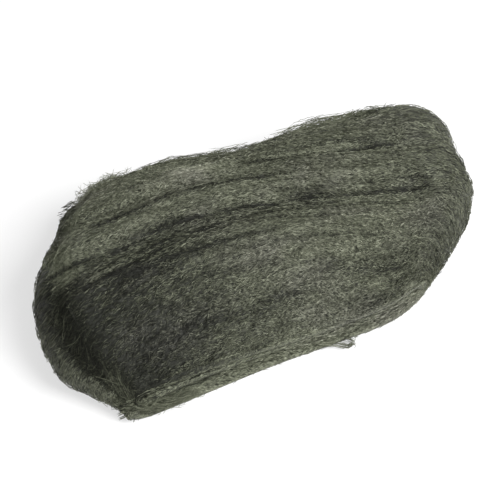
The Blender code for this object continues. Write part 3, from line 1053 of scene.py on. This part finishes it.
# Paths from the strip's outer face towards the curl's: a share of each that grows with the turn
def frayTorn(name, material):
    rng = np.random.default_rng(fray["seed"])
    count, points = fray["count"], fray["points"]
    t = np.linspace(0, 1, points)[None, :]
    across = np.clip(1 - 2 * rng.uniform(0, 1, (count, 1)) ** fray["crowding"], -1, 1)
    across = across + rng.normal(0, fray["scatter"] / halfWidth, (count, 1)) * (2 * t - 1)
    across = np.clip(across, -fray["overEdge"], fray["overEdge"])
    edgeTurn = (tornReach - tornStart(across)) / (2 * pitch)
    back = fade(across, *fray["back"])
    front = 1 - fade(across, *fray["front"])
    turn = rng.uniform(*fray["turn"], (count, 1)) + fray["reach"] * front
    turn = turn * t * (1 - fray["backShort"] * back)
    turn = turn + edgeTurn - rng.uniform(*fray["start"], (count, 1))
    hanging, lying = fray["sink"]
    deepest = hanging + (lying - hanging) * (front + fray["backSink"] * back)
    sink = deepest * rng.uniform(*fray["sinkSpread"], (count, 1)) ** (1 - fray["evenFront"] * front)
    sink = sink * fade(turn - edgeTurn, *fray["sinkTurn"])
    outer, normal = surfaceFrame((edgeTurn - turn) * 2 * pitch, across, np.ones_like(turn))
    onCurl = endOf["curl"] - np.clip(turn, 0.0, None) * pitch
    beneath, _ = surfaceFrame(onCurl, across, np.ones_like(turn))
    _, swing, rise = crimps(rng, count, points, np.full(count, fray["crimpLength"]))
    line = outer + (beneath - outer) * sink[..., None]
    side = unit(np.cross(np.gradient(line, axis=1), normal))
    lift = rng.uniform(*fray["lift"], (count, 1))
    line = line + side * swing[..., None] + normal * (rise + lift)[..., None]
    y = across * halfWidth
    edgeDark = paintedShadeAt(np.full(y.shape, fray["edgePlace"]), y, 1.0)
    base, more, share = fray["sunkDark"]
    dark = edgeDark * (1 - sink) + sink * np.maximum(base + more * front, share * edgeDark)
    shade = np.clip(rng.normal(*fray["bright"], (count, 1)), 0, 1) - fray["darkWeight"] * dark
    radius = rng.uniform(*fibre["radius"], count)
    return tubes(name, line, normal, radius, shade, material)


woolFibres = fibreMaterial()
fibrePieces = []
for name, settings in fibreSets.items():
    fibrePieces.append(layFibres(name, settings, woolFibres))
    print("%s: %d fibres" % (name, settings["count"]))
fibrePieces.append(frayTorn("tornWool", woolFibres))
print("tornWool: %d fibres" % fray["count"])


# Loose wisps in millimetres: points that each follows, how many fibres, how far they spread, how long a share
# of the line each fibre covers, and its shade
wisps = {
    "veilRoll": (((-30, 29, 21), (-19, 30, 22.2), (-9, 27.8, 23.6), (0, 23.8, 24.6), (5, 22, 25)),
                 260, 1.1, 0.30, 0.50),
    "backRoll": (((17, 21.4, 24), (29, 22, 23.5), (39, 21.6, 22.5), (50, 20.6, 22), (57, 18.4, 22)),
                 400, 1.35, 0.30, 0.46),
    "backLoop": (((20, 22, 24.5), (28, 24.6, 22.8), (36, 24.6, 21.9), (45, 22.4, 22)), 64, 1.15, 0.4, 0.56),
    "backWisp": (((-6, 24.5, 25), (1, 26.4, 22.6), (8, 25.6, 22.1), (15, 22.5, 23.5)), 56, 1.0, 0.4, 0.52),
    "frayedCorner": (((-24, 32, 19.5), (-30.5, 32.2, 19.8), (-35.8, 30.6, 20.2), (-39.2, 27.6, 20.8),
                      (-41.6, 24.4, 21.6)), 680, 1.9, 0.22, 0.74),
    "frayedTips": (((-34, 29, 21), (-38, 29.2, 21), (-41, 27.6, 21), (-42.6, 25.5, 21.5)),
                   60, 2.2, 0.30, 0.80),
    "curledWisp": (((2, -35.5, 3), (7, -37.6, 2), (10.5, -39.4, 1.2), (12.6, -39, 1.6), (11.4, -37.2, 2.2)),
                   60, 0.8, 0.45, 0.45),
    # thinVeil: the palest fibres, painted light where light comes through the thin wool
    "thinVeil": (((-27, 18.4, 29.0), (-21, 17.4, 29.4), (-15, 16.6, 29.5)), 130, 1.7, 0.30, 1.00),
    "frontFringe": (((-2, -35.5, 2), (10, -36.2, 1.4), (22, -35, 1.4), (32, -33.5, 1.6)), 70, 0.8, 0.3, 0.45),
    "frontCorner": (((-60, -24, 5), (-57.6, -29.4, 5.3), (-53.2, -33.8, 5.3), (-46.5, -36.2, 5.3),
                     (-36, -36.9, 5.3)), 640, 1.3, 0.18, 0.46),
}
loose = {
    "seed": 21,
    "points": 8,
    "cover": (0.6, 1.2),      # shortest and longest fibre against its wisp's share
    "apart": 2000,            # what the spread in millimetres is divided by for a fibre's offset in metres
    "leaning": 900,           # and for its lean
    "up": (0.0, 0.3, 1.0),
    "shadeSpread": 0.16,
    "radius": (0.00005, 0.00008),
}


# Curve through a wisp's points at the given shares of its way, in metres: the cubic above for x, y and z
def wispPoint(points, share):
    return np.stack([through(share, [point[axis] for point in points]) for axis in range(3)], axis=-1) / 1000


# Crimped lengths of each wisp's curve, scattered and leaning at random about it
def makeWisps(name, material):
    rng = np.random.default_rng(loose["seed"])
    paths, normals, shades = [], [], []
    for points, count, spread, part, light in wisps.values():
        t = np.linspace(-0.5, 0.5, loose["points"])[None, :]
        cover = part * rng.uniform(*loose["cover"], (count, 1))
        share = rng.uniform(0.0, 1.0, (count, 1)) + cover * t
        line = wispPoint(points, share)
        length = np.linalg.norm(np.diff(line, axis=1), axis=-1).sum(axis=1)
        _, swing, rise = crimps(rng, count, loose["points"], length)
        offset = rng.normal(0, spread / loose["apart"], (count, 1, 3))
        offset = offset + rng.normal(0, spread / loose["leaning"], (count, 1, 3)) * t[..., None]
        up = np.broadcast_to(loose["up"], line.shape)
        side = unit(np.cross(np.gradient(line, axis=1), up))
        line = line + offset + side * swing[..., None]
        line[..., 2] += rise
        paths.append(line)
        normals.append(up / np.linalg.norm(loose["up"]))
        shade = np.clip(rng.normal(light, loose["shadeSpread"], (count, 1)), 0, 1)
        shades.append(shade * np.ones((1, loose["points"])))
    paths, normals, shades = np.concatenate(paths), np.concatenate(normals), np.concatenate(shades)
    radius = rng.uniform(*loose["radius"], len(paths))
    print("%s: %d fibres" % (name, len(paths)))
    return tubes(name, paths, normals, radius, shades, material)


fibrePieces.append(makeWisps("looseWisps", woolFibres))


for piece in [bodyPiece] + fibrePieces:
    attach(piece, "root")
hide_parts(node)


# Floor, lamps and the camera, which looks at the target from an azimuth and an elevation in degrees
studio = {
    "target": (-0.0004, 0.0, 0.0128),
    "azimuth": -27.0,
    "elevation": 50.0,
    "distance": 0.563,
    "lens": 140.0,
    "shiftY": -0.023,
    "clipStart": 0.01,
    "world": 0.44,
    # name: direction from the pad, distance, size and power
    "lamps": {"key": ((0.34, -0.54, 0.72), 0.9, 0.5, 14.6), "fill": ((-0.1, -0.9, 0.6), 1.2, 0.9, 2.0)},
    "floor": 3.0,             # half its side
    "floorColour": (0.80, 0.80, 0.80, 1.0),
    "floorRoughness": 0.9,
    "floorWhite": 0.62,       # share of plain white where it is seen directly
}


# A wide pale floor: seen directly it is mostly plain white, and it still takes the pad's shadow
def makeFloor():
    size = studio["floor"]
    mesh = bpy.data.meshes.new("floor")
    corners = [(-size, -size, 0), (size, -size, 0), (size, size, 0), (-size, size, 0)]
    mesh.from_pydata(corners, [], [(0, 1, 2, 3)])
    floor = bpy.data.objects.new("floor", mesh)
    bpy.context.scene.collection.objects.link(floor)
    graph = Graph("floor")
    tree = graph.tree
    graph.finish(**{"Base Color": studio["floorColour"], "Roughness": studio["floorRoughness"]})
    ray = tree.nodes.new("ShaderNodeLightPath")
    seen = Wire(graph, ray.outputs["Is Camera Ray"]) + Wire(graph, ray.outputs["Is Glossy Ray"])
    seen = seen + Wire(graph, ray.outputs["Is Transmission Ray"])
    white = tree.nodes.new("ShaderNodeEmission")
    white.inputs["Color"].default_value = (1.0, 1.0, 1.0, 1.0)
    mixed = tree.nodes.new("ShaderNodeMixShader")
    tree.links.new((seen * studio["floorWhite"]).socket, mixed.inputs[0])
    tree.links.new(graph.shader.outputs[0], mixed.inputs[1])
    tree.links.new(white.outputs[0], mixed.inputs[2])
    tree.links.new(mixed.outputs[0], tree.nodes["Material Output"].inputs["Surface"])
    mesh.materials.append(graph.material)


# A unit vector from azimuth and elevation in degrees, azimuth 0 looking along +Y
def backFrom(azimuth, elevation):
    a, e = math.radians(azimuth), math.radians(elevation)
    return Vector((math.sin(a) * math.cos(e), -math.cos(a) * math.cos(e), math.sin(e)))


def makeStudio():
    scene = bpy.context.scene
    back = backFrom(studio["azimuth"], studio["elevation"])
    camera = bpy.data.objects.new("camera", bpy.data.cameras.new("camera"))
    scene.collection.objects.link(camera)
    camera.location = Vector(studio["target"]) + back * studio["distance"]
    camera.rotation_euler = back.to_track_quat("Z", "Y").to_euler()
    camera.data.lens = studio["lens"]
    camera.data.shift_y = studio["shiftY"]
    camera.data.clip_start = studio["clipStart"]
    scene.camera = camera
    for name, (direction, distance, size, power) in studio["lamps"].items():
        lamp = bpy.data.objects.new(name, bpy.data.lights.new(name, "AREA"))
        scene.collection.objects.link(lamp)
        toLamp = Vector(direction).normalized()
        lamp.location = Vector(studio["target"]) + toLamp * distance
        lamp.rotation_euler = toLamp.to_track_quat("Z", "Y").to_euler()
        lamp.data.size = size
        lamp.data.energy = power
    world = bpy.data.worlds.new("studio")
    world.use_nodes = True
    world.node_tree.nodes["Background"].inputs["Color"].default_value = (1.0, 1.0, 1.0, 1.0)
    world.node_tree.nodes["Background"].inputs["Strength"].default_value = studio["world"]
    scene.world = world
    scene.view_settings.view_transform = "Standard"


makeFloor()
makeStudio()
print("studio ready")
